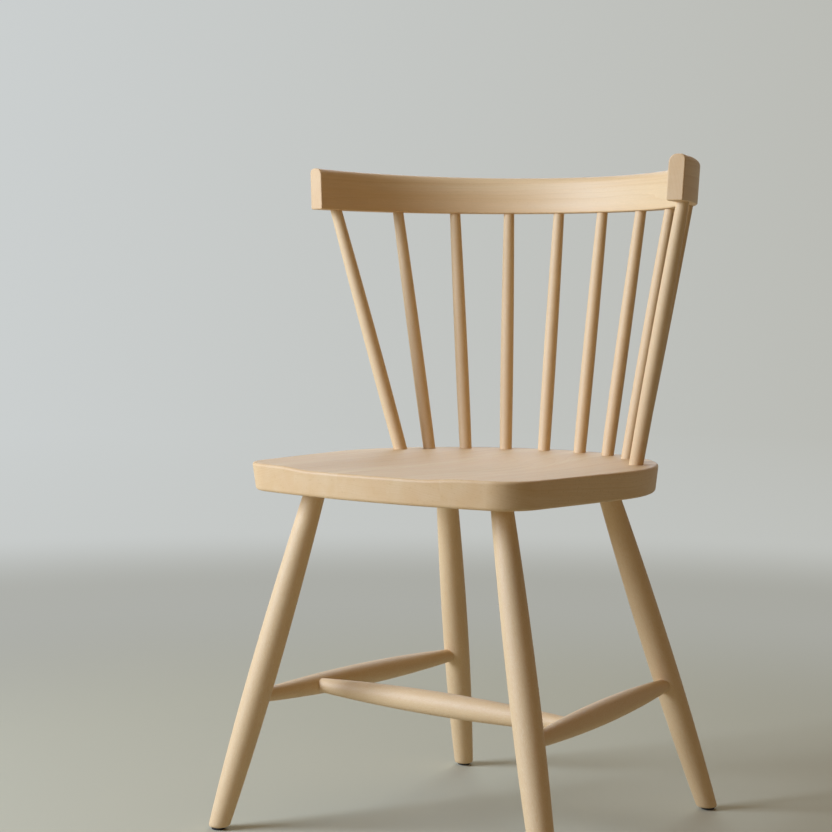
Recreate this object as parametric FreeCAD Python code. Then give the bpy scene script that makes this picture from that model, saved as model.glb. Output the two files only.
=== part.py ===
import FreeCAD, Part
import math
import os

from FreeCAD import Placement, Rotation, Vector

os.makedirs("parts", exist_ok=True)

# Spindle-back side chair in beech. All sizes are in millimetres, all angles in degrees.
# The front of the chair faces -Y and its left side, as seen from the front, is -X.
# The pieces are laid out from the centre of the arc that bounds the back of the seat,
# and at the end they are moved so that the origin is the middle of the footprint, on the floor.

# Seat: a solid board with a round back, a slightly bowed front and a shallow saddle.
seat_height = 445.0
seat_thickness = 32.5
seat_back_radius = 213.5
seat_front_width = 386.0
seat_front_reach = 233.5
seat_front_bow = 24.0
seat_corner_radius = 49.0
seat_edge_undercut = 6.0
seat_top_rounding = 3.0
seat_bottom_rounding = 4.0

# Saddle: the hollow is deepest and widest across its centre, fades out towards the back, and
# runs out narrower and shallower through the front edge. Its floor is level over a share of its
# width, and from there it rises to the rim.
saddle_centre_y = -20.0
saddle_back_reach = 165.0
saddle_depth = 6.5
saddle_half_width = 170.0
saddle_floor_share = 0.3
saddle_front_depth = 2.6
saddle_front_half_width = 126.0
saddle_front_floor_share = 0.6

# Legs: where their axes meet the underside of the seat, set in from its front corner and from
# its back arc, how far they splay from there to the floor, and their turning.
front_leg_inset = (61.5, 84.5)
front_leg_splay = (102.5, -55.0)
rear_leg_inset = 59.3
rear_leg_angle = 50.5
rear_leg_splay = (68.0, 147.9)
leg_top_diameter = 25.0
leg_belly_diameter = 33.5
leg_foot_diameter = 23.5
leg_belly_share = 0.52
leg_socket_cover = 12.5
leg_overrun = 15.0
leg_end_rounding = 2.5

# Glides: round plastic studs nailed under the legs.
glide_diameter = 16.0
glide_thickness = 3.0
glide_rounding = 0.8
nail_shank_diameter = 2.4
nail_length = 18.0
nail_head_diameter = 6.0
nail_head_thickness = 1.0
nail_head_recess = 0.6

# Stretchers: two from front leg to rear leg, a little higher at the rear, and one between those two.
stretcher_heights = {"front": 161.5, "rear": 165.0}
side_stretcher_end_diameter = 16.0
side_stretcher_belly_diameter = 28.0
side_stretcher_tenon_diameter = 12.0
side_stretcher_tenon_length = 16.0
cross_stretcher_share = 0.275
cross_stretcher_end_diameter = 17.0
cross_stretcher_belly_diameter = 28.5
cross_stretcher_tenon_diameter = 11.0
cross_stretcher_tenon_length = 11.0
stretcher_let_in = 4.0

# Spindles: how far in from the seat's back arc they stand, their angles round that arc from the
# middle of the back, and their places along the crest rail as shares of its half angle.
spindle_inset = 25.5
spindle_seat_angles = [8.2, 23.9, 39.8, 54.5, 67.0]
spindle_rail_shares = [0.088, 0.272, 0.463, 0.668, 0.912]
spindle_base_diameter = 15.5
spindle_belly_diameter = 16.5
spindle_top_diameter = 13.5
end_spindle_extra = 1.5
spindle_belly_share = 0.3
spindle_socket_cover = 14.5
spindle_let_in = 3.0
spindle_tenon_diameter = 10.0
spindle_tenon_length = 16.0

# Crest rail: bent on a wider arc than the seat's back, with its centre further forward. It leans
# out a little, and its top slopes down to the back.
rail_rise = 305.0
rail_flare = 45.5
rail_centre_y = -33.5
rail_half_angle = 82.2
rail_thickness = 20.0
rail_end_height = 52.0
rail_middle_height = 46.0
rail_lean = 3.0
rail_inner_top_rounding = 9.5
rail_outer_top_rounding = 6.0
rail_bottom_rounding = 2.0
rail_end_rounding = 1.5

# Fits: the glue gap round each tenon, the space left past its tip, and the gap round a nail.
glue_gap = 0.15
tip_gap = 1.0
nail_gap = 0.05

# Points closer together than this count as one.
same_point = 1e-6

# Sizes that follow from those above.
seat_underside = seat_height - seat_thickness
leg_socket_depth = seat_thickness - leg_socket_cover
spindle_socket_depth = seat_thickness - spindle_socket_cover
rail_bottom_height = seat_height + rail_rise
rail_radius = seat_back_radius + rail_flare
up = Vector(0, 0, 1)


def straight_edges(points):
    """Lines from point to point, without those of no length."""
    pairs = zip(points, points[1:])
    return [Part.makeLine(a, b) for a, b in pairs if a.sub(b).Length > same_point]


def closed_face(edges):
    return Part.Face(Part.Wire(edges))


def belly_arc(low, high, peak):
    """Arc from low to high, both (station, radius); it runs level with the axis at the peak one."""
    end = low if peak is high else high
    run = abs(peak[0] - end[0])
    rise = peak[1] - end[1]
    bend = (run * run + rise * rise) / (2.0 * rise)
    middle_station = (low[0] + high[0]) / 2.0
    middle_radius = peak[1] - bend + math.sqrt(bend * bend - run * run / 4.0)
    return Part.Arc(Vector(low[1], 0, low[0]), Vector(middle_radius, 0, middle_station),
                    Vector(high[1], 0, high[0])).toShape()


def belly_radius(station, length, turning):
    """Radius of a turned piece at a station between its shoulders."""
    start_radius, peak_radius, end_radius, peak_share = turning
    peak = peak_share * length
    run = peak if station < peak else length - peak
    rise = peak_radius - (start_radius if station < peak else end_radius)
    bend = (run * run + rise * rise) / (2.0 * rise)
    return peak_radius - bend + math.sqrt(bend * bend - (peak - station) ** 2)


def turned(start, end, turning, tenons, gap=0.0, deeper=0.0):
    """Solid of revolution between two points, with a tenon at each end.

    turning is (start radius, belly radius, end radius, share of the length where the belly is).
    tenons is ((length, radius), (length, radius)). A socket cutter is the same solid grown by the
    glue gap and made deeper past the tenon tips.
    """
    axis = end.sub(start)
    length = axis.Length
    start_radius, peak_radius, end_radius, peak_share = turning
    (start_tenon, start_tenon_radius), (end_tenon, end_tenon_radius) = tenons
    foot = (0.0, start_radius + gap)
    peak = (peak_share * length, peak_radius + gap)
    head = (length, end_radius + gap)
    low_tip = -start_tenon - deeper
    high_tip = length + end_tenon + deeper
    near_corners = [Vector(0, 0, low_tip), Vector(start_tenon_radius + gap, 0, low_tip),
                    Vector(start_tenon_radius + gap, 0, 0), Vector(foot[1], 0, 0)]
    far_corners = [Vector(head[1], 0, length), Vector(end_tenon_radius + gap, 0, length),
                   Vector(end_tenon_radius + gap, 0, high_tip), Vector(0, 0, high_tip)]
    edges = straight_edges(near_corners)
    edges.append(belly_arc(foot, peak, peak))
    edges.append(belly_arc(peak, head, peak))
    edges += straight_edges(far_corners)
    edges.append(Part.makeLine(far_corners[-1], near_corners[0]))
    solid = closed_face(edges).revolve(Vector(0, 0, 0), up, 360)
    solid.Placement = Placement(start, Rotation(up, axis))
    return solid


def seat_outline(inset, height):
    """Closed seat outline at a height, drawn in by an inset all round, with sharp front corners."""
    radius = seat_back_radius - inset
    half_front = seat_front_width / 2.0 - inset
    front = -seat_front_reach + inset
    corner = Vector(half_front, front + seat_front_bow, height)
    distance = math.hypot(corner.x, corner.y)
    tangent_angle = math.atan2(corner.y, corner.x) + math.acos(radius / distance)
    tangent = Vector(radius * math.cos(tangent_angle), radius * math.sin(tangent_angle), height)
    left_corner = Vector(-corner.x, corner.y, height)
    left_tangent = Vector(-tangent.x, tangent.y, height)
    edges = [Part.makeLine(corner, tangent),
             Part.Arc(tangent, Vector(0, radius, height), left_tangent).toShape(),
             Part.makeLine(left_tangent, left_corner),
             Part.Arc(left_corner, Vector(0, front, height), corner).toShape()]
    return Part.Wire(edges)


def eased(share):
    """Smooth rise from 0 to 1 as a share goes from 0 to 1, level at both ends."""
    return (1 - math.cos(math.pi * min(max(share, 0.0), 1.0))) / 2.0


def saddle_height(x, y):
    """Height of the seat's top surface at a point in plan."""
    forward = eased((saddle_centre_y - y) / (saddle_centre_y + seat_front_reach))
    backward = max(y - saddle_centre_y, 0.0) / saddle_back_reach
    half_width = saddle_half_width + (saddle_front_half_width - saddle_half_width) * forward
    floor = saddle_floor_share + (saddle_front_floor_share - saddle_floor_share) * forward
    depth = saddle_depth + (saddle_front_depth - saddle_depth) * forward
    share = math.hypot(x / half_width, backward)
    return seat_height - depth * eased((1 - share) / (1 - floor))


def above_saddle():
    """Block of everything above the seat's top surface, over an area larger than the seat."""
    margin = 20.0
    columns = 36
    rows = 36
    half_width = seat_back_radius + margin
    front = -seat_front_reach - margin
    back = seat_back_radius + margin
    points = []
    for column in range(columns + 1):
        x = half_width * (2.0 * column / columns - 1)
        line = []
        for row in range(rows + 1):
            y = front + (back - front) * row / rows
            line.append(Vector(x, y, saddle_height(x, y)))
        points.append(line)
    surface = Part.BSplineSurface()
    surface.interpolate(points)
    return surface.toShape().extrude(Vector(0, 0, seat_thickness))


def is_front_corner(edge):
    box = edge.BoundBox
    return box.ZLength > seat_thickness / 2.0 and box.Center.y < -seat_front_reach / 2.0


def make_seat():
    """Seat block cut from a thicker blank by the saddle surface, then rounded at its edges."""
    slope = math.tan(math.radians(seat_edge_undercut))
    blank = Part.makeLoft([seat_outline(seat_thickness * slope, seat_underside),
                           seat_outline(-saddle_depth * slope, seat_height + saddle_depth)],
                          True, True)
    blank = blank.makeFillet(seat_corner_radius, [e for e in blank.Edges if is_front_corner(e)])
    block = blank.cut(above_saddle())
    low = [e for e in block.Edges if e.BoundBox.ZMax < seat_underside + seat_bottom_rounding]
    block = block.makeFillet(seat_bottom_rounding, low)
    high = [e for e in block.Edges if e.BoundBox.ZMin > seat_height - saddle_depth]
    return block.makeFillet(seat_top_rounding, high)


def mirrored(point):
    return Vector(-point.x, point.y, point.z)


def arc_point(radius, centre_y, angle, height):
    """Point on a plan arc, at an angle from the back towards the right side."""
    turn = math.radians(angle)
    return Vector(radius * math.sin(turn), centre_y + radius * math.cos(turn), height)


def leg_line(top, splay):
    """Axis of a right-hand leg: its point on the underside of the seat and its point on the floor."""
    return top, Vector(top.x + splay[0], top.y + splay[1], 0)


def blank_end(line):
    """End of a leg's turned blank, which runs past the floor before it is cut off level."""
    start, end = line
    return end.add(end.sub(start).normalize().multiply(leg_overrun))


def on_line(line, height):
    start, end = line
    return start.add(end.sub(start).multiply((start.z - height) / (start.z - end.z)))


front_leg_top = Vector(seat_front_width / 2.0 - front_leg_inset[0],
                       front_leg_inset[1] - seat_front_reach, seat_underside)
rear_leg_top = arc_point(seat_back_radius - rear_leg_inset, 0, rear_leg_angle, seat_underside)
leg_lines = {"front": leg_line(front_leg_top, front_leg_splay),
             "rear": leg_line(rear_leg_top, rear_leg_splay)}
leg_turning = (leg_top_diameter / 2.0, leg_belly_diameter / 2.0, leg_foot_diameter / 2.0,
               leg_belly_share)
leg_tenons = ((leg_socket_depth, leg_top_diameter / 2.0), (0.0, leg_foot_diameter / 2.0))


def side(point, sign):
    return point if sign > 0 else mirrored(point)


def leg_shape(row, sign, gap=0.0, deeper=0.0):
    start = leg_lines[row][0]
    end = blank_end(leg_lines[row])
    return turned(side(start, sign), side(end, sign), leg_turning, leg_tenons, gap, deeper)


def leg_radius(row, height):
    start = leg_lines[row][0]
    end = blank_end(leg_lines[row])
    length = end.sub(start).Length
    return belly_radius(length * (start.z - height) / (start.z - end.z), length, leg_turning)


# Side stretchers run between the leg axes; their shoulders are let into the legs.
side_joints = {row: on_line(leg_lines[row], stretcher_heights[row]) for row in leg_lines}
side_direction = side_joints["rear"].sub(side_joints["front"]).normalize()
side_setback = {row: leg_radius(row, stretcher_heights[row]) - stretcher_let_in for row in leg_lines}
side_start = side_joints["front"].add(Vector(side_direction).multiply(side_setback["front"]))
side_end = side_joints["rear"].sub(Vector(side_direction).multiply(side_setback["rear"]))
side_turning = (side_stretcher_end_diameter / 2.0, side_stretcher_belly_diameter / 2.0,
                side_stretcher_end_diameter / 2.0, 0.5)
side_tenons = ((side_stretcher_tenon_length, side_stretcher_tenon_diameter / 2.0),) * 2


def side_stretcher(sign, gap=0.0, deeper=0.0):
    return turned(side(side_start, sign), side(side_end, sign), side_turning, side_tenons,
                  gap, deeper)


# The cross stretcher runs between the side stretchers, forward of their middle.
cross_joint = side_joints["front"].add(
    side_joints["rear"].sub(side_joints["front"]).multiply(cross_stretcher_share))
side_length = side_end.sub(side_start).Length
cross_station = cross_joint.sub(side_start).Length
cross_setback = belly_radius(cross_station, side_length, side_turning) - stretcher_let_in
cross_end = Vector(cross_joint.x - cross_setback, cross_joint.y, cross_joint.z)
cross_turning = (cross_stretcher_end_diameter / 2.0, cross_stretcher_belly_diameter / 2.0,
                 cross_stretcher_end_diameter / 2.0, 0.5)
cross_tenons = ((cross_stretcher_tenon_length, cross_stretcher_tenon_diameter / 2.0),) * 2


def cross_stretcher(gap=0.0, deeper=0.0):
    return turned(mirrored(cross_end), cross_end, cross_turning, cross_tenons, gap, deeper)


def spindle(seat_angle, rail_share, sign, extra, gap=0.0, deeper=0.0):
    base = side(arc_point(seat_back_radius - spindle_inset, 0, seat_angle, seat_height), sign)
    mark = side(arc_point(rail_radius, rail_centre_y, rail_share * rail_half_angle,
                          rail_bottom_height), sign)
    axis = mark.sub(base).normalize()
    shoulder = mark.add(axis.multiply(spindle_let_in))
    turning = ((spindle_base_diameter + extra) / 2.0, (spindle_belly_diameter + extra) / 2.0,
               (spindle_top_diameter + extra / 2.0) / 2.0, spindle_belly_share)
    tenons = ((spindle_socket_depth, turning[0]), (spindle_tenon_length, spindle_tenon_diameter / 2.0))
    return turned(base, shoulder, turning, tenons, gap, deeper)


def spindle_places():
    """Every spindle from left to right: seat angle, rail share, side and extra thickness."""
    pairs = list(zip(spindle_seat_angles, spindle_rail_shares))
    extras = [0.0] * (len(pairs) - 1) + [end_spindle_extra]
    left = [(a, b, -1, extra) for (a, b), extra in zip(pairs, extras)]
    right = [(a, b, 1, extra) for (a, b), extra in zip(pairs, extras)]
    return left[::-1] + right


def top_slope_cutter():
    """Block above the rail's sloping top, which falls from the ends to the middle of the back."""
    end_y = rail_centre_y + rail_radius * math.cos(math.radians(rail_half_angle))
    middle_y = rail_centre_y + rail_radius
    slope = math.degrees(math.atan2(rail_end_height - rail_middle_height, middle_y - end_y))
    reach = 2.0 * rail_radius
    block = Part.makeBox(2 * reach, 2 * reach, rail_end_height, Vector(-reach, -reach, 0))
    block.Placement = Placement(Vector(0, end_y, rail_bottom_height + rail_end_height),
                                Rotation(Vector(1, 0, 0), -slope))
    return block


def rail_edges(shape, radius, high):
    """Long edges of the rail near a radius from its centre, on its top or on its bottom."""
    found = []
    for edge in shape.Edges:
        middle = edge.valueAt((edge.FirstParameter + edge.LastParameter) / 2.0)
        on_top = middle.z > rail_bottom_height + rail_middle_height / 2.0
        distance = math.hypot(middle.x, middle.y - rail_centre_y)
        if edge.Length > rail_radius and on_top == high and abs(distance - radius) < rail_thickness / 2.0:
            found.append(edge)
    return found


def is_cut_end(face):
    """Whether a face of the rail is one of its two ends, the only flat faces that stand upright."""
    return face.Surface.TypeId == "Part::GeomPlane" and abs(face.normalAt(0, 0).z) < 0.5


def make_rail():
    inner = rail_radius - rail_thickness / 2.0
    outer = rail_radius + rail_thickness / 2.0
    tall = rail_end_height + rail_thickness
    drift = tall * math.tan(math.radians(rail_lean))
    corners = [Vector(inner, 0, 0), Vector(outer, 0, 0), Vector(outer + drift, 0, tall),
               Vector(inner + drift, 0, tall)]
    section = closed_face([Part.makeLine(a, b) for a, b in zip(corners, corners[1:] + corners[:1])])
    section.rotate(Vector(0, 0, 0), up, 90 - rail_half_angle)
    rail = section.revolve(Vector(0, 0, 0), up, 2 * rail_half_angle)
    rail.translate(Vector(0, rail_centre_y, rail_bottom_height))
    rail = rail.cut(top_slope_cutter())
    rail = rail.makeFillet(rail_inner_top_rounding, rail_edges(rail, inner, True))
    rail = rail.makeFillet(rail_outer_top_rounding, rail_edges(rail, outer + drift / 2.0, True))
    low = rail_edges(rail, inner, False) + rail_edges(rail, outer, False)
    rail = rail.makeFillet(rail_bottom_rounding, low)
    end_edges = [edge for face in rail.Faces if is_cut_end(face) for edge in face.Edges]
    return rail.makeFillet(rail_end_rounding, end_edges)


def nail_parts(point, gap):
    """Nail through a glide, point upwards, with its head recessed into the glide's underside."""
    shank = Part.makeCylinder(nail_shank_diameter / 2.0 + gap, nail_length,
                              point.add(Vector(0, 0, nail_head_recess)))
    head_height = nail_head_thickness + (nail_head_recess if gap else 0.0)
    head_start = 0.0 if gap else nail_head_recess
    head = Part.makeCylinder(nail_head_diameter / 2.0 + gap, head_height,
                             point.add(Vector(0, 0, head_start)))
    return shank.fuse(head).removeSplitter()


def make_glide(point):
    disc = Part.makeCylinder(glide_diameter / 2.0, glide_thickness, point)
    low = [e for e in disc.Edges if e.BoundBox.ZMax < glide_thickness / 2.0]
    return disc.makeFillet(glide_rounding, low).cut(nail_parts(point, nail_gap))


def make_leg(row, sign):
    """Leg cut off level above its glide, its end softened, with its stretcher and nail holes."""
    leg = leg_shape(row, sign)
    reach = 4 * leg_foot_diameter
    foot = side(leg_lines[row][1], sign)
    below = Part.makeBox(2 * reach, 2 * reach, reach,
                         foot.add(Vector(-reach, -reach, glide_thickness - reach)))
    leg = leg.cut(below)
    low = [e for e in leg.Edges if e.BoundBox.ZMax < glide_thickness + leg_end_rounding]
    leg = leg.makeFillet(leg_end_rounding, low)
    return leg.cut([side_stretcher(sign, glue_gap, tip_gap), nail_parts(foot, nail_gap)])


sides = {"left": -1, "right": 1}
pieces = {}

seat = make_seat()
rail = make_rail()
for number, place in enumerate(spindle_places(), 1):
    pieces[f"spindle_{number:02d}"] = spindle(*place)
    socket = spindle(*place, glue_gap, tip_gap)
    seat = seat.cut(socket)
    rail = rail.cut(socket)

nails = []
for row in leg_lines:
    for name, sign in sides.items():
        seat = seat.cut(leg_shape(row, sign, glue_gap, tip_gap))
        pieces[f"leg_{row}_{name}"] = make_leg(row, sign)
        foot = side(leg_lines[row][1], sign)
        pieces[f"glide_{row}_{name}"] = make_glide(foot)
        nails.append(nail_parts(foot, 0.0))

for name, sign in sides.items():
    pieces[f"side_stretcher_{name}"] = side_stretcher(sign).cut(cross_stretcher(glue_gap, tip_gap))

pieces["cross_stretcher"] = cross_stretcher()
pieces["glide_nails"] = Part.makeCompound(nails)
pieces["seat"] = seat
pieces["crest_rail"] = rail

# The origin goes to the middle of the footprint, on the floor.
whole = Part.makeCompound(list(pieces.values())).optimalBoundingBox(False)
origin_shift = Vector(-whole.Center.x, -whole.Center.y, -whole.ZMin)
for name, shape in pieces.items():
    shape.translate(origin_shift)
    shape.exportStep(f"parts/{name}.step")
    box = shape.optimalBoundingBox(False)
    print(name, len(shape.Solids), shape.isValid(), round(shape.Volume),
          [round(v, 1) for v in (box.XMin, box.YMin, box.ZMin, box.XMax, box.YMax, box.ZMax)])
print("origin shift", origin_shift)
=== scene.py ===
import math

import bpy
from mathutils import Matrix, Vector


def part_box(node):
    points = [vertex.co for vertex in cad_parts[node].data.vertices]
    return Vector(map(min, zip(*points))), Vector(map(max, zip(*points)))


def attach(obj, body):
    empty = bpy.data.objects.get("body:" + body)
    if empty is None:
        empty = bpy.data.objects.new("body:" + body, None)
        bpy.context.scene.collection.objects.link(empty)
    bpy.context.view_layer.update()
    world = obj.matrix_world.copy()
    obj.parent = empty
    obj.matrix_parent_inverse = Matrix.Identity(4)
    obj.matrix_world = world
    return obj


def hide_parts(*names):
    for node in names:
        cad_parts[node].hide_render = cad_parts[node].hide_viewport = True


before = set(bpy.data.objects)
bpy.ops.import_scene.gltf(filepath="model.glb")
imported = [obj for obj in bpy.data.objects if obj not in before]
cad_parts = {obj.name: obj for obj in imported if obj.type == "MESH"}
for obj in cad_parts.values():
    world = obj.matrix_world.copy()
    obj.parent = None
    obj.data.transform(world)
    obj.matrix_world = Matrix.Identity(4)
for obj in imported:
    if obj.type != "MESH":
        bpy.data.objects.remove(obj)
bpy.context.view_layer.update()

# Seat
# The real seat is a board glued up from beech staves that run from front to back, sawn round,
# dished a little on its top and sanded soft along its edges. Blind holes take legs and spindles.
# The sizes of all pieces are in millimetres, and mm turns them into metres.
mm = 0.001
stave_width = 68.0
stave_spots = (60.0, 70.0, 3000.0)
seat_pith_depth = 95.0


def linear(hex_colour):
    """Linear colour with alpha from an sRGB hex string."""
    values = [int(hex_colour[i:i + 2], 16) / 255 for i in (1, 3, 5)]
    return [v / 12.92 if v <= 0.04045 else ((v + 0.055) / 1.055) ** 2.4 for v in values] + [1.0]


def add_node(tree, kind, links=None, **settings):
    """Add a node. settings are its properties; links gives each input, by name or number, a value,
    an output socket, or a node whose first output is meant."""
    node = tree.nodes.new(kind)
    for name, value in settings.items():
        setattr(node, name, value)
    for key, value in (links or {}).items():
        if isinstance(value, bpy.types.Node):
            value = value.outputs[0]
        if isinstance(value, bpy.types.NodeSocket):
            tree.links.new(value, node.inputs[key])
        else:
            node.inputs[key].default_value = value
    return node


def beech_grain_group():
    """Solid pattern of beech. Place is a point of the log in metres: x and y are measured from the
    pith, z runs along the grain. End is 1 where the surface cuts across the fibres."""
    pale = linear("#E3C799")
    tan = linear("#DBB885")
    rosy = linear("#DCB584")
    latewood = linear("#C79A63")
    ray = linear("#AE8450")
    end_tone = linear("#CCA36D")

    # Sizes of the patterns in millimetres: twice across the grain, and once along it.
    wander_size = (45, 45, 420)
    ring_stray = 9
    ring_width = 2.7
    streak_size = (19, 19, 520)
    cloud_size = (60, 60, 700)
    fibre_size = (0.9, 0.9, 26)

    # Rays are spaced outwards, around and along. The spacing around holds at this distance from
    # the pith.
    ray_spacing = (4.0, 0.9, 3.2)
    ray_distance = 100

    # How fast the rings' width and strength change from ring to ring, and by how many rings the
    # width may be out.
    width_change_rate = 0.35
    width_change = 2.2
    year_change_rate = 0.13

    # How strongly each pattern shows in the colour, the gloss and the relief.
    latewood_sharpness = 5.0
    ring_strength = 0.62
    cloud_strength = 0.45
    ray_strength = 0.35
    end_strength = 0.45
    ray_gloss = 0.1
    fibre_relief = 0.6
    ray_relief = -0.8
    ring_relief = 0.35

    group = bpy.data.node_groups.new("beech_grain", "ShaderNodeTree")
    group.interface.new_socket("Place", in_out="INPUT", socket_type="NodeSocketVector")
    group.interface.new_socket("End", in_out="INPUT", socket_type="NodeSocketFloat")
    group.interface.new_socket("Color", in_out="OUTPUT", socket_type="NodeSocketColor")
    group.interface.new_socket("Roughness", in_out="OUTPUT", socket_type="NodeSocketFloat")
    group.interface.new_socket("Height", in_out="OUTPUT", socket_type="NodeSocketFloat")
    given = group.nodes.new("NodeGroupInput").outputs
    result = group.nodes.new("NodeGroupOutput").inputs

    def spread(size, shift=0.0):
        """The place counted in units of a pattern's size, moved along by some of them."""
        units = [1 / (s * mm) for s in size]
        scaled = add_node(group, "ShaderNodeVectorMath", {0: given["Place"], 1: units},
                          operation="MULTIPLY")
        return add_node(group, "ShaderNodeVectorMath", {0: scaled, 1: [shift] * 3}, operation="ADD")

    # Growth rings stray a few millimetres from true circles as they run up the log.
    wander = add_node(group, "ShaderNodeTexNoise", {"Vector": spread(wander_size), "Scale": 1.0,
                                                    "Detail": 2.0})
    stray = add_node(group, "ShaderNodeVectorMath", {0: wander.outputs["Color"], 1: [0.5] * 3},
                     operation="SUBTRACT")
    strayed = add_node(group, "ShaderNodeVectorMath",
                       {0: stray, 1: [ring_stray * mm, ring_stray * mm, 0]}, operation="MULTIPLY")
    bent = add_node(group, "ShaderNodeVectorMath", {0: given["Place"], 1: strayed},
                    operation="ADD")
    flat = add_node(group, "ShaderNodeVectorMath", {0: bent, 1: [1, 1, 0]}, operation="MULTIPLY")
    radius = add_node(group, "ShaderNodeVectorMath", {0: flat}, operation="LENGTH").outputs["Value"]

    # Rings are 2 to 3 mm wide, each ending in a thin darker line of late wood.
    ring_place = add_node(group, "ShaderNodeMath", {0: radius, 1: 1 / (ring_width * mm)},
                          operation="MULTIPLY")
    width_place = add_node(group, "ShaderNodeMath", {0: ring_place, 1: width_change_rate},
                           operation="MULTIPLY")
    uneven = add_node(group, "ShaderNodeTexNoise", {"W": width_place, "Scale": 1.0, "Detail": 1.0},
                      noise_dimensions="1D")
    ring_count = add_node(group, "ShaderNodeMath", {0: uneven, 1: width_change, 2: ring_place},
                          operation="MULTIPLY_ADD")
    ring_phase = add_node(group, "ShaderNodeMath", {0: ring_count}, operation="FRACT")
    late = add_node(group, "ShaderNodeMath", {0: ring_phase, 1: latewood_sharpness},
                    operation="POWER")
    year_place = add_node(group, "ShaderNodeMath", {0: ring_place, 1: year_change_rate},
                          operation="MULTIPLY")
    some_years = add_node(group, "ShaderNodeTexNoise", {"W": year_place, "Scale": 1.0,
                                                        "Detail": 1.0}, noise_dimensions="1D")
    year_strength = add_node(group, "ShaderNodeMath", {0: some_years, 1: ring_strength},
                             operation="MULTIPLY")
    ring_line = add_node(group, "ShaderNodeMath", {0: late, 1: year_strength},
                         operation="MULTIPLY")

    # Broad streaks of lighter and rosier wood, and fibres, which are drawn far coarser than the
    # real ones, so that they show.
    streak = add_node(group, "ShaderNodeTexNoise", {"Vector": spread(streak_size), "Scale": 1.0,
                                                    "Detail": 3.0, "Roughness": 0.55})
    streaks = add_node(group, "ShaderNodeMapRange", {"Value": streak, "From Min": 0.33,
                                                     "From Max": 0.68}, clamp=True)
    cloud = add_node(group, "ShaderNodeTexNoise", {"Vector": spread(cloud_size, 7.3),
                                                   "Scale": 1.0, "Detail": 2.0})
    clouds = add_node(group, "ShaderNodeMapRange", {"Value": cloud, "From Min": 0.4,
                                                    "From Max": 0.66}, clamp=True)
    rosy_share = add_node(group, "ShaderNodeMath", {0: clouds, 1: cloud_strength},
                          operation="MULTIPLY")
    fibre = add_node(group, "ShaderNodeTexNoise", {"Vector": spread(fibre_size, 3.1),
                                                   "Scale": 1.0, "Detail": 3.0, "Roughness": 0.6})
    fibres = add_node(group, "ShaderNodeMapRange", {"Value": fibre, "From Min": 0.3,
                                                    "From Max": 0.7}, clamp=True)
    dull = add_node(group, "ShaderNodeMapRange", {"Value": fibres, "To Min": 0.955, "To Max": 1.03})
    shade = add_node(group, "ShaderNodeCombineColor", {0: dull, 1: dull, 2: dull})

    # Rays: thin upright plates, seen as short brown dashes on flat-sawn faces and as small
    # plates on quartered ones. They are drawn about twice their real width, so that they show.
    bent_parts = add_node(group, "ShaderNodeSeparateXYZ", {0: bent}).outputs
    around = add_node(group, "ShaderNodeMath", {0: bent_parts[1], 1: bent_parts[0]},
                      operation="ARCTAN2")
    polar = add_node(group, "ShaderNodeCombineXYZ", {"X": radius, "Y": around, "Z": bent_parts[2]})
    outwards, sideways, along = ray_spacing
    ray_place = add_node(group, "ShaderNodeVectorMath",
                         {0: polar, 1: [1 / (outwards * mm), ray_distance / sideways,
                                        1 / (along * mm)]}, operation="MULTIPLY")
    ray_cells = add_node(group, "ShaderNodeTexVoronoi", {"Vector": ray_place, "Scale": 1.0,
                                                         "Randomness": 1.0})
    ray_body = add_node(group, "ShaderNodeMapRange", {"Value": ray_cells.outputs["Distance"],
                                                      "From Min": 0.1, "From Max": 0.3,
                                                      "To Min": 1.0, "To Max": 0.0}, clamp=True)
    ray_kind = add_node(group, "ShaderNodeSeparateColor", {0: ray_cells.outputs["Color"]})
    ray_share = add_node(group, "ShaderNodeMath", {0: ray_kind, 1: ray_strength},
                         operation="MULTIPLY")
    rays = add_node(group, "ShaderNodeMath", {0: ray_body, 1: ray_share}, operation="MULTIPLY")
    end_share = add_node(group, "ShaderNodeMath", {0: given["End"], 1: end_strength},
                         operation="MULTIPLY")

    color = pale
    for share, tone, kind in ((streaks, tan, "MIX"), (rosy_share, rosy, "MIX"),
                              (ring_line, latewood, "MIX"), (1.0, shade, "MULTIPLY"),
                              (rays, ray, "MIX"), (end_share, end_tone, "MIX")):
        color = add_node(group, "ShaderNodeMix", {0: share, 6: color, 7: tone},
                         data_type="RGBA", blend_type=kind).outputs[2]
    rough = add_node(group, "ShaderNodeMapRange", {"Value": fibres, "To Min": 0.5, "To Max": 0.62})
    rough = add_node(group, "ShaderNodeMath", {0: rays, 1: -ray_gloss, 2: rough},
                     operation="MULTIPLY_ADD")
    height = 0.0
    for pattern, relief in ((fibres, fibre_relief), (rays, ray_relief), (ring_phase, ring_relief)):
        height = add_node(group, "ShaderNodeMath", {0: pattern, 1: relief, 2: height},
                          operation="MULTIPLY_ADD")
    group.links.new(color, result["Color"])
    group.links.new(rough.outputs[0], result["Roughness"])
    group.links.new(height.outputs[0], result["Height"])
    return group


beech_grain = beech_grain_group()


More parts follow.
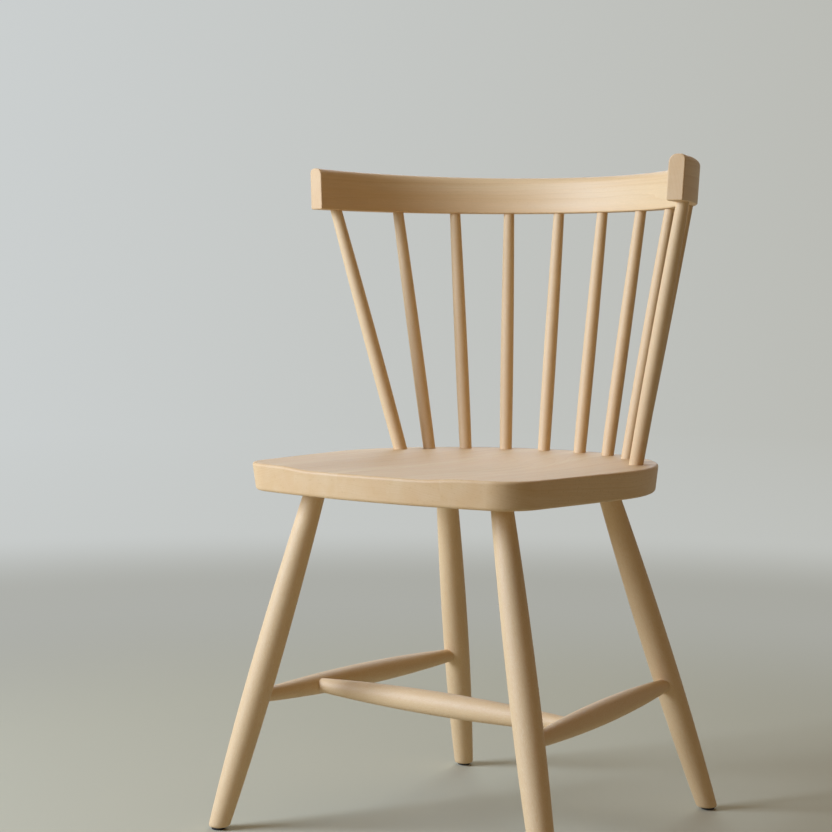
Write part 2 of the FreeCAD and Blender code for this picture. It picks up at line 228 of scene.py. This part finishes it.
def finish_beech(material, place, end=0.0):
    """Wire the solid grain to a soaped surface: matt, with a faint dry bloom and open pores."""
    tree = material.node_tree
    grain = add_node(tree, "ShaderNodeGroup", node_tree=beech_grain)
    for name, value in (("Place", place), ("End", end)):
        if isinstance(value, float):
            grain.inputs[name].default_value = value
        else:
            tree.links.new(value(tree), grain.inputs[name])
    bump = add_node(tree, "ShaderNodeBump", {"Height": grain.outputs["Height"], "Strength": 0.35,
                                             "Distance": 0.12 * mm})
    shader = add_node(tree, "ShaderNodeBsdfPrincipled", {
        "Base Color": grain.outputs["Color"], "Roughness": grain.outputs["Roughness"],
        "IOR": 1.48, "Specular IOR Level": 0.5, "Normal": bump})
    add_node(tree, "ShaderNodeOutputMaterial", {"Surface": shader})


def new_material(name):
    """A material with no nodes yet."""
    material = bpy.data.materials.new(name)
    material.use_nodes = True
    material.node_tree.nodes.clear()
    return material


def stave_place(tree):
    """Place in the log of a point of the seat: each stave comes from another spot of the plank,
    and lies flat-sawn side up, with its grain from front to back. The spots differ by up to
    stave_spots across the stave, in depth and along the grain."""
    across, deeper, along_grain = [size * mm for size in stave_spots]
    given = add_node(tree, "ShaderNodeTexCoord")
    parts = add_node(tree, "ShaderNodeSeparateXYZ", {0: given.outputs["Object"]})
    count = add_node(tree, "ShaderNodeMath", {0: parts.outputs[0], 1: 1 / (stave_width * mm)},
                     operation="MULTIPLY")
    shifted = add_node(tree, "ShaderNodeMath", {0: count, 1: 0.5}, operation="ADD")
    number = add_node(tree, "ShaderNodeMath", {0: shifted}, operation="FLOOR")
    chance = add_node(tree, "ShaderNodeTexWhiteNoise", {"W": number}, noise_dimensions="1D")
    shares = add_node(tree, "ShaderNodeSeparateColor", {0: chance.outputs["Color"]})
    side = add_node(tree, "ShaderNodeMath", {0: shares.outputs[0], 1: across, 2: parts.outputs[0]},
                    operation="MULTIPLY_ADD")
    deep = add_node(tree, "ShaderNodeMath", {0: shares.outputs[1], 1: deeper,
                                             2: seat_pith_depth * mm}, operation="MULTIPLY_ADD")
    radial = add_node(tree, "ShaderNodeMath", {0: parts.outputs[2], 1: deep}, operation="ADD")
    along = add_node(tree, "ShaderNodeMath", {0: shares.outputs[2], 1: along_grain,
                                              2: parts.outputs[1]}, operation="MULTIPLY_ADD")
    place = add_node(tree, "ShaderNodeCombineXYZ", {"X": radial, "Y": side, "Z": along})
    return place.outputs[0]


def front_to_back(tree):
    """1 where the seat's surface faces straight to the front or back, and so shows end grain."""
    given = add_node(tree, "ShaderNodeTexCoord")
    facing = add_node(tree, "ShaderNodeVectorMath", {0: given.outputs["Normal"], 1: [0, 1, 0]},
                      operation="DOT_PRODUCT")
    size = add_node(tree, "ShaderNodeMath", {0: facing.outputs["Value"]}, operation="ABSOLUTE")
    return size.outputs[0]


seat_beech = new_material("soaped_beech_staves")
finish_beech(seat_beech, stave_place, front_to_back)
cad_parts["seat"].data.materials[0] = seat_beech

# Legs
# Four beech legs, turned on a lathe with their thickest place near the middle, driven into the seat
# from below, splayed, and cut off level with the floor. Their ends are softened.
leg_top_diameter = 25.0
leg_belly_diameter = 33.5
leg_foot_diameter = 23.5
leg_belly_share = 0.52
leg_top_rounding = 1.0
leg_end_rounding = 4.4

# Each leg is turned longer than it ends, by the overrun, and cut off at the floor. It rises about
# five times as far as it leans inward.
leg_overrun = 15.0
leg_rise = 5

# A piece is turned with so many facets round it, rings along its belly and steps over a softened
# edge. It is swept round a thin hub, whose poles close within the seam.
turning_sides = 64
turning_rings = 56
edge_steps = 6
hub_radius = 1.0
seam = 0.002
crease_angle = 40

# A flat end is what lies within the rim's depth of its tip, and the axis between two ends settles
# in a few turns.
rim_depth = 0.3
axis_turns = 8

# Blanks come from spots of the log between these two, in metres from the pith.
blank_spots = ((60 * mm, -40 * mm, 0.0), (160 * mm, 40 * mm, 5.0))

# The sizes that a turning takes, besides its place, its fineness, its seed and its material.
turning_sizes = ("Length", "Start Radius", "Belly Radius", "End Radius", "Belly Share",
                 "Start Tenon", "Start Tenon Radius", "End Tenon", "End Tenon Radius",
                 "Start Rounding", "End Rounding", "Level Foot")


def turning_tree():
    """Geometry nodes that turn one piece: a belly between two shoulders and a tenon at each end."""
    tree = bpy.data.node_groups.new("turning", "GeometryNodeTree")
    tree.interface.new_socket("Geometry", in_out="OUTPUT", socket_type="NodeSocketGeometry")
    for name in turning_sizes:
        tree.interface.new_socket(name, in_out="INPUT", socket_type="NodeSocketFloat")
    for name in ("Start", "Axis"):
        tree.interface.new_socket(name, in_out="INPUT", socket_type="NodeSocketVector")
    for name in ("Sides", "Rings", "Seed"):
        tree.interface.new_socket(name, in_out="INPUT", socket_type="NodeSocketInt")
    tree.interface.new_socket("Material", in_out="INPUT", socket_type="NodeSocketMaterial")
    given = tree.nodes.new("NodeGroupInput").outputs
    result = tree.nodes.new("NodeGroupOutput")

    # The profile lies in the XY plane: X is the radius and Y the place along the axis. It runs
    # over twelve corners, and its softened edges bend round the third and the tenth.
    length = given["Length"]
    start_radius = given["Start Tenon Radius"]
    end_radius = given["End Tenon Radius"]
    start_tip = add_node(tree, "ShaderNodeMath", {0: given["Start Tenon"], 1: -1.0},
                         operation="MULTIPLY")
    start_side = add_node(tree, "ShaderNodeMath", {0: start_tip, 1: given["Start Rounding"]},
                          operation="ADD")
    start_inner = add_node(tree, "ShaderNodeMath", {0: start_radius, 1: given["Start Rounding"]},
                           operation="SUBTRACT")
    end_tip = add_node(tree, "ShaderNodeMath", {0: length, 1: given["End Tenon"]}, operation="ADD")
    end_side = add_node(tree, "ShaderNodeMath", {0: end_tip, 1: given["End Rounding"]},
                        operation="SUBTRACT")
    end_inner = add_node(tree, "ShaderNodeMath", {0: end_radius, 1: given["End Rounding"]},
                         operation="SUBTRACT")
    corners = [add_node(tree, "ShaderNodeCombineXYZ", {"X": radius, "Y": station})
               for radius, station in (
                   (0.0, start_tip), (start_inner, start_tip), (start_radius, start_tip),
                   (start_radius, start_side), (start_radius, 0.0), (given["Start Radius"], 0.0),
                   (given["End Radius"], length), (end_radius, length), (end_radius, end_side),
                   (end_radius, end_tip), (end_inner, end_tip), (0.0, end_tip))]
    lines = [add_node(tree, "GeometryNodeCurvePrimitiveLine",
                      {"Start": corners[i], "End": corners[i + 1]}) for i in (0, 3, 4, 6, 7, 10)]
    lines += [add_node(tree, "GeometryNodeCurveQuadraticBezier",
                       {"Resolution": edge_steps, "Start": corners[i], "Middle": corners[i + 1],
                        "End": corners[i + 2]}) for i in (1, 8)]

    # The belly swells and thins along two shallow arcs that meet where it is thickest.
    peak = add_node(tree, "ShaderNodeMath", {0: given["Belly Share"], 1: length},
                    operation="MULTIPLY")
    axis_end = add_node(tree, "ShaderNodeCombineXYZ", {"Y": length})
    straight = add_node(tree, "GeometryNodeCurvePrimitiveLine",
                        {"Start": [0.0] * 3, "End": axis_end})
    ringed = add_node(tree, "GeometryNodeResampleCurve",
                      {"Curve": straight, "Count": given["Rings"]})
    station = add_node(tree, "ShaderNodeSeparateXYZ",
                       {0: add_node(tree, "GeometryNodeInputPosition")}).outputs[1]
    is_past = add_node(tree, "ShaderNodeMath", {0: station, 1: peak}, operation="GREATER_THAN")
    past_peak = add_node(tree, "ShaderNodeMath", {0: length, 1: peak}, operation="SUBTRACT")
    run = add_node(tree, "ShaderNodeMix", {0: is_past, 2: peak, 3: past_peak})
    shoulder = add_node(tree, "ShaderNodeMix",
                        {0: is_past, 2: given["Start Radius"], 3: given["End Radius"]})
    from_peak = add_node(tree, "ShaderNodeMath", {0: station, 1: peak}, operation="SUBTRACT")
    distance = add_node(tree, "ShaderNodeMath", {0: from_peak}, operation="ABSOLUTE")
    run_share = add_node(tree, "ShaderNodeMath", {0: distance, 1: run}, operation="DIVIDE")
    away = add_node(tree, "ShaderNodeMath", {0: run_share, 1: 2.0}, operation="POWER")
    rise = add_node(tree, "ShaderNodeMath", {0: given["Belly Radius"], 1: shoulder},
                    operation="SUBTRACT")
    fall = add_node(tree, "ShaderNodeMath", {0: rise, 1: away}, operation="MULTIPLY")
    radius = add_node(tree, "ShaderNodeMath", {0: given["Belly Radius"], 1: fall},
                      operation="SUBTRACT")
    swell = add_node(tree, "ShaderNodeCombineXYZ", {"X": radius})
    lines.append(add_node(tree, "GeometryNodeSetPosition", {"Geometry": ringed, "Offset": swell}))

    profile = add_node(tree, "GeometryNodeJoinGeometry")
    for line in lines:
        tree.links.new(line.outputs[0], profile.inputs[0])
    moved = add_node(tree, "GeometryNodeTransform",
                     {"Geometry": profile, "Translation": [-hub_radius * mm, 0, 0]})
    hub = add_node(tree, "GeometryNodeCurvePrimitiveCircle",
                   {"Resolution": given["Sides"], "Radius": hub_radius * mm})
    spun = add_node(tree, "GeometryNodeCurveToMesh", {"Curve": hub, "Profile Curve": moved})
    closed = add_node(tree, "GeometryNodeMergeByDistance",
                      {"Geometry": spun, "Distance": seam * mm})

    # Each blank is sawn from another spot of the log and turned to another side.
    spot = add_node(tree, "FunctionNodeRandomValue", {0: blank_spots[0], 1: blank_spots[1],
                                                      "Seed": given["Seed"]},
                    data_type="FLOAT_VECTOR")
    turn = add_node(tree, "FunctionNodeRandomValue", {2: 0.0, 3: 2 * math.pi, "ID": 1,
                                                      "Seed": given["Seed"]})
    position = add_node(tree, "GeometryNodeInputPosition")
    rolled = add_node(tree, "ShaderNodeVectorRotate",
                      {"Vector": position, "Angle": turn.outputs[1]}, rotation_type="Z_AXIS")
    in_log = add_node(tree, "ShaderNodeVectorMath", {0: rolled, 1: spot}, operation="ADD")
    marked = add_node(tree, "GeometryNodeStoreNamedAttribute",
                      {"Geometry": closed, "Name": "blank", 3: in_log},
                      data_type="FLOAT_VECTOR", domain="POINT")

    # The sweep runs down its own Z axis, so that axis is turned against the piece's direction.
    against = add_node(tree, "ShaderNodeVectorMath", {0: given["Axis"], "Scale": -1.0},
                       operation="SCALE")
    turned = add_node(tree, "FunctionNodeAlignRotationToVector", {"Vector": against}, axis="Z")
    placed = add_node(tree, "GeometryNodeTransform", {"Geometry": marked, "Rotation": turned,
                                                      "Translation": given["Start"]})

    # A level foot: every point slides along the axis, the more the nearer it is to the end.
    from_start = add_node(tree, "ShaderNodeVectorMath", {0: position, 1: given["Start"]},
                          operation="SUBTRACT")
    station_now = add_node(tree, "ShaderNodeVectorMath", {0: from_start, 1: given["Axis"]},
                           operation="DOT_PRODUCT").outputs["Value"]
    on_axis_now = add_node(tree, "ShaderNodeVectorMath", {0: given["Axis"], "Scale": station_now},
                           operation="SCALE")
    off_axis = add_node(tree, "ShaderNodeVectorMath", {0: from_start, 1: on_axis_now},
                        operation="SUBTRACT")
    height_off = add_node(tree, "ShaderNodeSeparateXYZ", {0: off_axis}).outputs[2]
    axis_fall = add_node(tree, "ShaderNodeSeparateXYZ", {0: given["Axis"]}).outputs[2]
    length_share = add_node(tree, "ShaderNodeMath", {0: station_now, 1: end_tip},
                            operation="DIVIDE", use_clamp=True)
    level_share = add_node(tree, "ShaderNodeMath", {0: length_share, 1: given["Level Foot"]},
                           operation="MULTIPLY")
    whole_slide = add_node(tree, "ShaderNodeMath", {0: height_off, 1: axis_fall},
                           operation="DIVIDE")
    slide = add_node(tree, "ShaderNodeMath", {0: level_share, 1: whole_slide},
                     operation="MULTIPLY")
    back = add_node(tree, "ShaderNodeMath", {0: slide, 1: -1.0}, operation="MULTIPLY")
    sliding = add_node(tree, "ShaderNodeVectorMath", {0: given["Axis"], "Scale": back},
                       operation="SCALE")
    levelled = add_node(tree, "GeometryNodeSetPosition", {"Geometry": placed, "Offset": sliding})
    real = add_node(tree, "GeometryNodeRealizeInstances", {"Geometry": levelled})
    smooth = add_node(tree, "GeometryNodeSetShadeSmooth", {"Geometry": real, "Shade Smooth": True})
    coated = add_node(tree, "GeometryNodeSetMaterial",
                      {"Geometry": smooth, "Material": given["Material"]})
    tree.links.new(coated.outputs[0], result.inputs[0])
    return tree


turning = turning_tree()


def blank_place(tree):
    """Place in the log of a point of a turned piece, kept on its mesh."""
    return add_node(tree, "ShaderNodeAttribute", attribute_name="blank").outputs["Vector"]


turned_beech = new_material("soaped_beech_turned")
finish_beech(turned_beech, blank_place)


def turn_piece(node, start, axis, seed, **sizes):
    """Turn one piece between centres and let it stand for its node. Sizes are in millimetres."""
    values = {name: sizes.get(name.lower().replace(" ", "_"), 0.0) * mm
              for name in turning_sizes}
    values["Belly Share"] = sizes["belly_share"]
    values["Level Foot"] = sizes.get("level_foot", 0.0)
    values.update({"Start": start, "Axis": axis, "Sides": turning_sides, "Rings": turning_rings,
                   "Seed": seed, "Material": turned_beech})
    name = "turned_" + node
    piece = bpy.data.objects.new(name, bpy.data.meshes.new(name))
    bpy.context.scene.collection.objects.link(piece)
    modifier = piece.modifiers.new("turning", "NODES")
    modifier.node_group = turning
    for item in turning.interface.items_tree:
        if item.in_out == "INPUT":
            modifier[item.identifier] = values[item.name]
    depsgraph = bpy.context.evaluated_depsgraph_get()
    mesh = bpy.data.meshes.new_from_object(piece.evaluated_get(depsgraph))
    piece.modifiers.clear()
    piece.data = mesh
    mesh.name = name
    mesh.set_sharp_from_angle(angle=math.radians(crease_angle))
    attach(piece, "root")
    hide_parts(node)


def end_centre(points, direction):
    """Middle of the flat end that a turned node has furthest along a direction."""
    reach = max(p.dot(direction) for p in points)
    rim = [p for p in points if p.dot(direction) > reach - rim_depth * mm]
    return Vector((min(c) + max(c)) / 2 for c in zip(*rim))


def axis_ends(node, direction):
    """Both ends of a turned node's axis, from a rough direction that is made exact by turns."""
    points = [v.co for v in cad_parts[node].data.vertices]
    for _ in range(axis_turns):
        low, high = end_centre(points, -direction), end_centre(points, direction)
        direction = (high - low).normalized()
    return low, high


def at_height(low, high, height):
    """Point where a line reaches a height."""
    return low + (high - low) * ((height - low.z) / (high.z - low.z))


seat_low, seat_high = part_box("seat")
leg_seeds = {"leg_front_left": 11, "leg_front_right": 12, "leg_rear_left": 13, "leg_rear_right": 14}
for node, seed in leg_seeds.items():
    glide_low, glide_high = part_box(node.replace("leg", "glide"))
    foot = (glide_low + glide_high) / 2
    foot.z = 0.0
    leg_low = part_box(node)[0]
    inward = Vector((-math.copysign(1, foot.x), -math.copysign(1, foot.y), leg_rise)).normalized()
    points = [v.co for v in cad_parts[node].data.vertices]
    top = end_centre(points, inward)
    for _ in range(axis_turns):
        top = end_centre(points, (top - foot).normalized())
    axis = (foot - top).normalized()
    start = at_height(foot, top, seat_low.z)
    blank_length = (foot - start).length + leg_overrun * mm
    cut_length = (at_height(foot, top, leg_low.z) - start).length
    peak = leg_belly_share * blank_length
    share_past = (cut_length - peak) / (blank_length - peak)
    cut_diameter = leg_belly_diameter - (leg_belly_diameter - leg_foot_diameter) * share_past ** 2
    body = cut_length - leg_end_rounding * mm
    turn_piece(node, start, axis, seed, length=body / mm, start_radius=leg_top_diameter / 2,
               belly_radius=leg_belly_diameter / 2, end_radius=cut_diameter / 2,
               belly_share=peak / body, start_tenon=(start - top).length / mm,
               start_tenon_radius=leg_top_diameter / 2, end_tenon=leg_end_rounding,
               end_tenon_radius=cut_diameter / 2, start_rounding=leg_top_rounding,
               end_rounding=leg_end_rounding, level_foot=1.0)

# Stretchers
# Two beech stretchers join front leg to rear leg, and a third joins those two. They are turned,
# thickest in the middle, and their slim ends are glued into drilled holes.
side_end_diameter = 16.0
side_belly_diameter = 28.0
side_tenon = (16.0, 12.0)
cross_end_diameter = 17.0
cross_belly_diameter = 28.5
cross_tenon = (11.0, 11.0)
tenon_rounding = 0.8
side_seeds = {"side_stretcher_left": 21, "side_stretcher_right": 22}
cross_seed = 23


def turn_stretcher(node, ends, end_diameter, belly_diameter, tenon, seed):
    """Turn a stretcher whose two ends are alike."""
    low, high = ends
    tenon_length, tenon_diameter = tenon
    axis = (high - low).normalized()
    turn_piece(node, low + axis * tenon_length * mm, axis, seed,
               length=(high - low).length / mm - 2 * tenon_length, start_radius=end_diameter / 2,
               belly_radius=belly_diameter / 2, end_radius=end_diameter / 2, belly_share=0.5,
               start_tenon=tenon_length, start_tenon_radius=tenon_diameter / 2,
               end_tenon=tenon_length, end_tenon_radius=tenon_diameter / 2,
               start_rounding=tenon_rounding, end_rounding=tenon_rounding)


for node, seed in side_seeds.items():
    turn_stretcher(node, axis_ends(node, Vector((0, 1, 0))), side_end_diameter,
                   side_belly_diameter, side_tenon, seed)
turn_stretcher("cross_stretcher", axis_ends("cross_stretcher", Vector((1, 0, 0))),
               cross_end_diameter, cross_belly_diameter, cross_tenon, cross_seed)

# Spindles
# Ten beech spindles stand in the seat's blind holes and fan out to the crest rail. Each is turned,
# fullest low down and slimmest under the rail; the outer two are a little stouter.
spindle_base_diameter = 15.5
spindle_belly_diameter = 16.5
spindle_top_diameter = 13.5
end_spindle_extra = 1.5
spindle_belly_share = 0.3
spindle_tenon = (16.0, 10.0)
spindle_count = 10
spindle_seed = 30

for number in range(1, spindle_count + 1):
    node = f"spindle_{number:02d}"
    low, high = axis_ends(node, Vector((0, 0, 1)))
    axis = (high - low).normalized()
    base = at_height(low, high, seat_high.z)
    extra = end_spindle_extra if number in (1, spindle_count) else 0.0
    tenon_length, tenon_diameter = spindle_tenon
    base_radius = (spindle_base_diameter + extra) / 2
    turn_piece(node, base, axis, spindle_seed + number,
               length=(high - base).length / mm - tenon_length, start_radius=base_radius,
               belly_radius=(spindle_belly_diameter + extra) / 2,
               end_radius=(spindle_top_diameter + extra / 2) / 2, belly_share=spindle_belly_share,
               start_tenon=(base - low).length / mm, start_tenon_radius=base_radius,
               end_tenon=tenon_length, end_tenon_radius=tenon_diameter / 2,
               start_rounding=tenon_rounding, end_rounding=tenon_rounding)

# Crest rail
# A straight beech strip, steamed and bent round a form, so its grain follows the bend. Its top is
# rounded over and its two ends are cut square, where the end grain shows.
rail_radius = 259.0
rail_outer_reach = 12.1
rail_pith_distance = 120.0
rail_low, rail_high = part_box("crest_rail")
bend_centre = Vector((0, rail_high.y - (rail_radius + rail_outer_reach) * mm, rail_low.z))


def bend_parts(tree):
    """Distances from the bend's axis in X and Y, and the height above the rail's bottom."""
    place = add_node(tree, "ShaderNodeTexCoord").outputs["Object"]
    from_centre = add_node(tree, "ShaderNodeVectorMath", {0: place, 1: bend_centre},
                           operation="SUBTRACT")
    return add_node(tree, "ShaderNodeSeparateXYZ", {0: from_centre}).outputs


def bent_place(tree):
    """Place in the log of a point of the rail, as it lay before the strip was bent."""
    x, y, z = bend_parts(tree)
    angle = add_node(tree, "ShaderNodeMath", {0: x, 1: y}, operation="ARCTAN2")
    along = add_node(tree, "ShaderNodeMath", {0: angle, 1: rail_radius * mm}, operation="MULTIPLY")
    plan = add_node(tree, "ShaderNodeCombineXYZ", {"X": x, "Y": y})
    reach = add_node(tree, "ShaderNodeVectorMath", {0: plan}, operation="LENGTH").outputs["Value"]
    radial = add_node(tree, "ShaderNodeMath",
                      {0: reach, 1: (rail_pith_distance - rail_radius) * mm}, operation="ADD")
    return add_node(tree, "ShaderNodeCombineXYZ", {"X": radial, "Y": z, "Z": along}).outputs[0]


def along_bend(tree):
    """1 where the rail's surface faces along the bent strip, as its sawn ends do."""
    x, y, _ = bend_parts(tree)
    normal = add_node(tree, "ShaderNodeTexCoord").outputs["Normal"]
    back = add_node(tree, "ShaderNodeMath", {0: x, 1: -1.0}, operation="MULTIPLY")
    tangent = add_node(tree, "ShaderNodeVectorMath",
                       {0: add_node(tree, "ShaderNodeCombineXYZ", {"X": y, "Y": back})},
                       operation="NORMALIZE")
    facing = add_node(tree, "ShaderNodeVectorMath", {0: normal, 1: tangent},
                      operation="DOT_PRODUCT")
    return add_node(tree, "ShaderNodeMath", {0: facing.outputs["Value"]},
                    operation="ABSOLUTE").outputs[0]


rail_beech = new_material("soaped_beech_bent")
finish_beech(rail_beech, bent_place, along_bend)
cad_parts["crest_rail"].data.materials[0] = rail_beech

# Glides
# Round studs of black moulded plastic keep the leg ends off the floor. Each is held by a plain
# steel nail through its middle.
pebble_size = 0.5
scuff_size = 3.0
drawn_line_size = (0.25, 0.25, 10 / 3)

# The mould leaves a fine pebble, drawn a little coarser than the real one so that it shows, and
# use scuffs the plastic grey in places.
glide_plastic = new_material("moulded_black_plastic")
tree = glide_plastic.node_tree
place = add_node(tree, "ShaderNodeTexCoord").outputs["Object"]
pebble = add_node(tree, "ShaderNodeTexNoise", {"Vector": place, "Scale": 1 / (pebble_size * mm),
                                               "Detail": 2.0})
scuff = add_node(tree, "ShaderNodeTexNoise", {"Vector": place, "Scale": 1 / (scuff_size * mm),
                                              "Detail": 4.0})
scuffs = add_node(tree, "ShaderNodeMapRange", {"Value": scuff, "From Min": 0.5, "From Max": 0.8})
colour = add_node(tree, "ShaderNodeMix", {0: scuffs, 6: linear("#1B1A18"), 7: linear("#3A3733")},
                  data_type="RGBA")
rough = add_node(tree, "ShaderNodeMapRange", {"Value": scuff, "To Min": 0.45, "To Max": 0.7})
bump = add_node(tree, "ShaderNodeBump", {"Height": pebble, "Strength": 0.4, "Distance": 0.05 * mm})
plastic = add_node(tree, "ShaderNodeBsdfPrincipled", {"Base Color": colour.outputs[2],
                                                      "Roughness": rough, "IOR": 1.5,
                                                      "Normal": bump})
add_node(tree, "ShaderNodeOutputMaterial", {"Surface": plastic})

# Wire is drawn through a die, which leaves fine bright lines along the nail.
nail_steel = new_material("bright_drawn_steel")
tree = nail_steel.node_tree
place = add_node(tree, "ShaderNodeTexCoord").outputs["Object"]
draw = add_node(tree, "ShaderNodeVectorMath",
                {0: place, 1: [1 / (size * mm) for size in drawn_line_size]}, operation="MULTIPLY")
lines = add_node(tree, "ShaderNodeTexNoise", {"Vector": draw, "Scale": 1.0, "Detail": 3.0})
colour = add_node(tree, "ShaderNodeMix", {0: lines, 6: linear("#A9A9A6"), 7: linear("#C9C9C7")},
                  data_type="RGBA")
rough = add_node(tree, "ShaderNodeMapRange", {"Value": lines, "To Min": 0.28, "To Max": 0.5})
steel = add_node(tree, "ShaderNodeBsdfPrincipled", {"Base Color": colour.outputs[2],
                                                    "Metallic": 1.0, "Roughness": rough})
add_node(tree, "ShaderNodeOutputMaterial", {"Surface": steel})

for name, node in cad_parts.items():
    if name.startswith("glide_"):
        node.data.materials[0] = nail_steel if name == "glide_nails" else glide_plastic

# Studio
# A plain pale floor under a pale surround with painted light and shade on it, lighter toward the
# key lamp and darker away from it; one large soft lamp to the left of the camera, two weak ones
# behind and above, and a weak warm fill. None of it belongs to the chair.
# The surround's two tones: painted light on the side toward the key lamp, painted shade on the side
# away from it.
painted_lit_surround = linear("#CBCFCF")
painted_shaded_surround = linear("#BBBCB6")
floor_colour = linear("#C6C1A7")
far_floor_shade = linear("#E0DED9")
fill_colour = linear("#FFCC94")
fill_strength = 0.135
lamp_target = Vector((0, 0, 0.45))
lamps = {"key": (38, 19, 3.5, 1.7, 190.0, linear("#CFE0FF")),
         "back": (150, 35, 2.4, 1.5, 20.0, linear("#D0E6FF")),
         "top": (0, 90, 2.4, 2.0, 9.0, linear("#FFECD0"))}
floor_radius = 7.0
floor_sides = 64
floor_drop = 0.0002

# In metres from the chair's middle, the lit floor gives way to a glowing tone in the first range,
# which carries the surround's painted shade away from the key lamp, and that tone to the surround's
# colour in the second.
floor_evening = (0.7, 1.7)
floor_fade = (2.0, 3.0)

# Painted light and shade: the surround is painted darker this way, away from the key lamp, as that
# lamp's falloff would make it, over these distances to both sides: the first for a direction of
# length 1, the second in metres on the floor.
painted_shade_way = (0.807, 0.590, 0.0)
sky_painted_shade_spread = 0.211
floor_painted_shade_spread = 1.95


def surround_seen(tree, coordinate, half_width):
    """The surround's colour, with its painted shade darker away from the key lamp, for a direction
    or a place on the floor, and 1 for rays that may see it, so that it gives no light."""
    place = add_node(tree, "ShaderNodeTexCoord").outputs[coordinate]
    sideways = add_node(tree, "ShaderNodeVectorMath", {0: place, 1: painted_shade_way},
                        operation="DOT_PRODUCT").outputs["Value"]
    across = add_node(tree, "ShaderNodeMapRange", {"Value": sideways, "From Min": -half_width,
                                                   "From Max": half_width}, clamp=True)
    colour = add_node(tree, "ShaderNodeMix", {0: across, 6: painted_lit_surround, 7: painted_shaded_surround},
                      data_type="RGBA")
    path = add_node(tree, "ShaderNodeLightPath").outputs
    seen = add_node(tree, "ShaderNodeMath", {0: path["Is Camera Ray"], 1: path["Is Glossy Ray"]},
                    operation="MAXIMUM")
    seen = add_node(tree, "ShaderNodeMath", {0: seen, 1: path["Is Transmission Ray"]},
                    operation="MAXIMUM")
    return colour.outputs[2], seen.outputs[0]


world = bpy.data.worlds.new("surround")
bpy.context.scene.world = world
world.use_nodes = True
tree = world.node_tree
tree.nodes.clear()
# The surround shown to the camera has painted light toward the key lamp and painted shade away from
# it.
colour, seen = surround_seen(tree, "Generated", sky_painted_shade_spread)
shown = add_node(tree, "ShaderNodeBackground", {"Color": colour, "Strength": 1.0})
fill = add_node(tree, "ShaderNodeBackground", {"Color": fill_colour, "Strength": fill_strength})
both = add_node(tree, "ShaderNodeMixShader", {0: seen, 1: fill, 2: shown})
add_node(tree, "ShaderNodeOutputWorld", {"Surface": both})

floor_mesh = bpy.data.meshes.new("floor")
turns = [2 * math.pi * i / floor_sides for i in range(floor_sides)]
corners = [(floor_radius * math.cos(a), floor_radius * math.sin(a), -floor_drop) for a in turns]
floor_mesh.from_pydata(corners, [], [list(range(floor_sides))])
floor = bpy.data.objects.new("floor", floor_mesh)
bpy.context.scene.collection.objects.link(floor)
floor_paint = new_material("pale_matt_floor")
tree = floor_paint.node_tree
place = add_node(tree, "ShaderNodeTexCoord").outputs["Object"]
reach = add_node(tree, "ShaderNodeVectorMath", {0: place}, operation="LENGTH").outputs["Value"]
even = add_node(tree, "ShaderNodeMapRange", {"Value": reach, "From Min": floor_evening[0],
                                             "From Max": floor_evening[1]},
                interpolation_type="SMOOTHSTEP")
fade = add_node(tree, "ShaderNodeMapRange", {"Value": reach, "From Min": floor_fade[0],
                                             "From Max": floor_fade[1]},
                interpolation_type="SMOOTHSTEP")
# The far floor glows in the surround's colours, with the same painted shade away from the key lamp.
colour, seen = surround_seen(tree, "Object", floor_painted_shade_spread)
share = add_node(tree, "ShaderNodeMath", {0: even, 1: seen}, operation="MULTIPLY")
far = add_node(tree, "ShaderNodeMix", {0: 1.0, 6: colour, 7: far_floor_shade}, data_type="RGBA",
               blend_type="MULTIPLY").outputs[2]
faded = add_node(tree, "ShaderNodeMix", {0: fade, 6: far, 7: colour}, data_type="RGBA")
matt = add_node(tree, "ShaderNodeBsdfDiffuse", {"Color": floor_colour})
glow = add_node(tree, "ShaderNodeEmission", {"Color": faded.outputs[2], "Strength": 1.0})
mixed = add_node(tree, "ShaderNodeMixShader", {0: share, 1: matt, 2: glow})
add_node(tree, "ShaderNodeOutputMaterial", {"Surface": mixed})
floor_mesh.materials.append(floor_paint)

# Each lamp: degrees to the left of the chair's front, degrees above level, distance and size in
# metres, power in watts, and colour.
for name, (turn, lift, distance, size, power, colour) in lamps.items():
    lamp = bpy.data.objects.new(name + "_lamp", bpy.data.lights.new(name + "_lamp", "AREA"))
    lamp.data.size = size
    lamp.data.energy = power
    lamp.data.color = colour[:3]
    turn, lift = math.radians(turn), math.radians(lift)
    level = math.cos(lift)
    away = Vector((-math.sin(turn) * level, -math.cos(turn) * level, math.sin(lift)))
    lamp.location = lamp_target + away * distance
    lamp.rotation_euler = (-away).to_track_quat("-Z", "Y").to_euler()
    bpy.context.scene.collection.objects.link(lamp)

# The camera stands to the right of the chair's front, a little above its seat, and looks down
# very slightly. The lens has the field of view of a short telephoto.
camera_place = Vector((1.29856, -1.91933, 0.63581))
camera_heading = 36.16
camera_pitch = -3.435
camera_roll = 0.602
camera_lens = 83.32
camera = bpy.data.objects.new("camera", bpy.data.cameras.new("camera"))
camera.data.lens = camera_lens
camera.data.clip_start = 0.05
camera.location = camera_place
camera.rotation_euler = (Matrix.Rotation(math.radians(camera_heading), 3, "Z")
                         @ Matrix.Rotation(math.radians(90 + camera_pitch), 3, "X")
                         @ Matrix.Rotation(math.radians(camera_roll), 3, "Z")).to_euler()
bpy.context.scene.collection.objects.link(camera)
bpy.context.scene.camera = camera
bpy.context.scene.view_settings.view_transform = "Standard"
